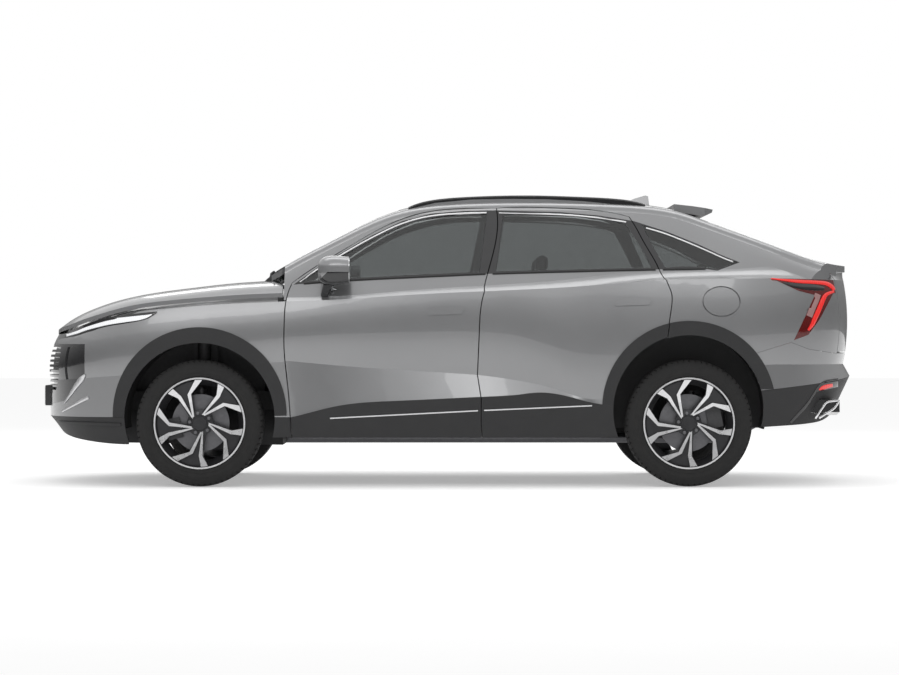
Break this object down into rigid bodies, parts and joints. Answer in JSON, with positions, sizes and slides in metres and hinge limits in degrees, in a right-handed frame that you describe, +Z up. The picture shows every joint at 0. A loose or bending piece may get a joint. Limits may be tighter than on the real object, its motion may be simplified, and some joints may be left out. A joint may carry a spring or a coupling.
{
  "type": "coupe sport utility vehicle",
  "caption": "Raised coupe-roofed road vehicle with opening doors, bonnet and tailgate, steered front wheels and dark lower cladding, for carrying people and luggage.",
  "frame": {"origin": "on the ground under the middle of the vehicle's length and width", "axes": "-X points forward, -Y to the vehicle's left, +Z up"},
  "size_m": [4.776, 2.2084, 1.71],
  "materials": {
    "body_paint": "metallic lacquer",
    "dark_plastic": "fine grain",
    "gloss_black": "gloss",
    "window_glass": "tinted",
    "clear_lens": "clear",
    "red_lens": "tinted red",
    "tyre_rubber": "rubber",
    "wheel_alloy": "machined",
    "bare_steel": "bare",
    "cast_metal": "cast",
    "bright_metal": "polished",
    "seat_cover": "grained",
    "cabin_plastic": "soft touch"
  },
  "bodies": {
    "body": {"floor_pan": "bare_steel", "body_side_right": "body_paint", "body_side_left": "body_paint", "roof_panel": "body_paint", "roof_rails": "dark_plastic", "antenna": "body_paint", "windscreen": "window_glass", "quarter_glass": "window_glass", "cowl": "dark_plastic", "fenders": "body_paint", "front_bumper": "body_paint", "front_valance": "dark_plastic", "grille": "gloss_black", "headlamps": "clear_lens", "rear_bumper": "body_paint", "rear_valance": "dark_plastic", "tail_lamps": "red_lens", "arch_surrounds": "dark_plastic", "front_liners": "dark_plastic", "engine_block": "cast_metal", "front_suspension": "cast_metal", "rear_suspension": "cast_metal", "exhaust": "bright_metal", "front_seats": "seat_cover", "rear_seat": "seat_cover", "dashboard": "cabin_plastic", "steering_wheel": "cabin_plastic"},
    "bonnet": {"bonnet": "body_paint"},
    "tailgate": {"tailgate": "body_paint", "tailgate_glass": "window_glass", "spoiler": "body_paint"},
    "fuel_flap": {"fuel_flap": "body_paint"},
    "front_door_right": {"front_door_right": "body_paint", "front_door_glass_right": "window_glass", "front_door_trim_right": "dark_plastic"},
    "rear_door_right": {"rear_door_right": "body_paint", "rear_door_glass_right": "window_glass", "rear_door_trim_right": "dark_plastic"},
    "knuckle_right": {"knuckle_right": "cast_metal"},
    "wheel_front_right": {"tyre_front_right": "tyre_rubber", "rim_front_right": "wheel_alloy"},
    "wheel_rear_right": {"tyre_rear_right": "tyre_rubber", "rim_rear_right": "wheel_alloy"},
    "front_door_left": {"front_door_left": "body_paint", "front_door_glass_left": "window_glass", "front_door_trim_left": "dark_plastic"},
    "rear_door_left": {"rear_door_left": "body_paint", "rear_door_glass_left": "window_glass", "rear_door_trim_left": "dark_plastic"},
    "knuckle_left": {"knuckle_left": "cast_metal"},
    "wheel_front_left": {"tyre_front_left": "tyre_rubber", "rim_front_left": "wheel_alloy"},
    "wheel_rear_left": {"tyre_rear_left": "tyre_rubber", "rim_rear_left": "wheel_alloy"}
  },
  "joints": [
    {"name": "bonnet_hinge", "type": "hinge", "parent": "body", "child": "bonnet", "pos_m": [-0.928, 0, 1.215], "axis": [0, 1, 0], "range_deg": [0, 50]},
    {"name": "tailgate_hinge", "type": "hinge", "parent": "body", "child": "tailgate", "pos_m": [1.303, 0, 1.632], "axis": [0, -1, 0], "range_deg": [0, 75]},
    {"name": "fuel_flap_hinge", "type": "hinge", "parent": "body", "child": "fuel_flap", "pos_m": [1.459, -0.924, 1.061], "axis": [0, 0, -1], "range_deg": [0, 80]},
    {"name": "front_door_right_hinge", "type": "hinge", "parent": "body", "child": "front_door_right", "pos_m": [-0.932, 0.934, 0.75], "axis": [0, 0, 1], "range_deg": [0, 65]},
    {"name": "rear_door_right_hinge", "type": "hinge", "parent": "body", "child": "rear_door_right", "pos_m": [0.176, 0.934, 0.75], "axis": [0, 0, 1], "range_deg": [0, 70]},
    {"name": "steer_right", "type": "hinge", "parent": "body", "child": "knuckle_right", "pos_m": [-1.42, 0.765, 0.364], "axis": [0, 0, 1], "range_deg": [-35, 35]},
    {"name": "wheel_front_right_spin", "type": "hinge", "parent": "knuckle_right", "child": "wheel_front_right", "pos_m": [-1.42, 0.806, 0.364], "axis": [0, 1, 0], "continuous": true},
    {"name": "wheel_rear_right_spin", "type": "hinge", "parent": "body", "child": "wheel_rear_right", "pos_m": [1.38, 0.806, 0.364], "axis": [0, 1, 0], "continuous": true},
    {"name": "front_door_left_hinge", "type": "hinge", "parent": "body", "child": "front_door_left", "pos_m": [-0.932, -0.934, 0.75], "axis": [0, 0, -1], "range_deg": [0, 65]},
    {"name": "rear_door_left_hinge", "type": "hinge", "parent": "body", "child": "rear_door_left", "pos_m": [0.176, -0.934, 0.75], "axis": [0, 0, -1], "range_deg": [0, 70]},
    {"name": "steer_left", "type": "hinge", "parent": "body", "child": "knuckle_left", "pos_m": [-1.42, -0.765, 0.364], "axis": [0, 0, 1], "range_deg": [-35, 35]},
    {"name": "wheel_front_left_spin", "type": "hinge", "parent": "knuckle_left", "child": "wheel_front_left", "pos_m": [-1.42, -0.806, 0.364], "axis": [0, 1, 0], "continuous": true},
    {"name": "wheel_rear_left_spin", "type": "hinge", "parent": "body", "child": "wheel_rear_left", "pos_m": [1.38, -0.806, 0.364], "axis": [0, 1, 0], "continuous": true}
  ],
  "couplings": [
    {"joint": "steer_right", "follows": "steer_left", "ratio": 1}
  ]
}
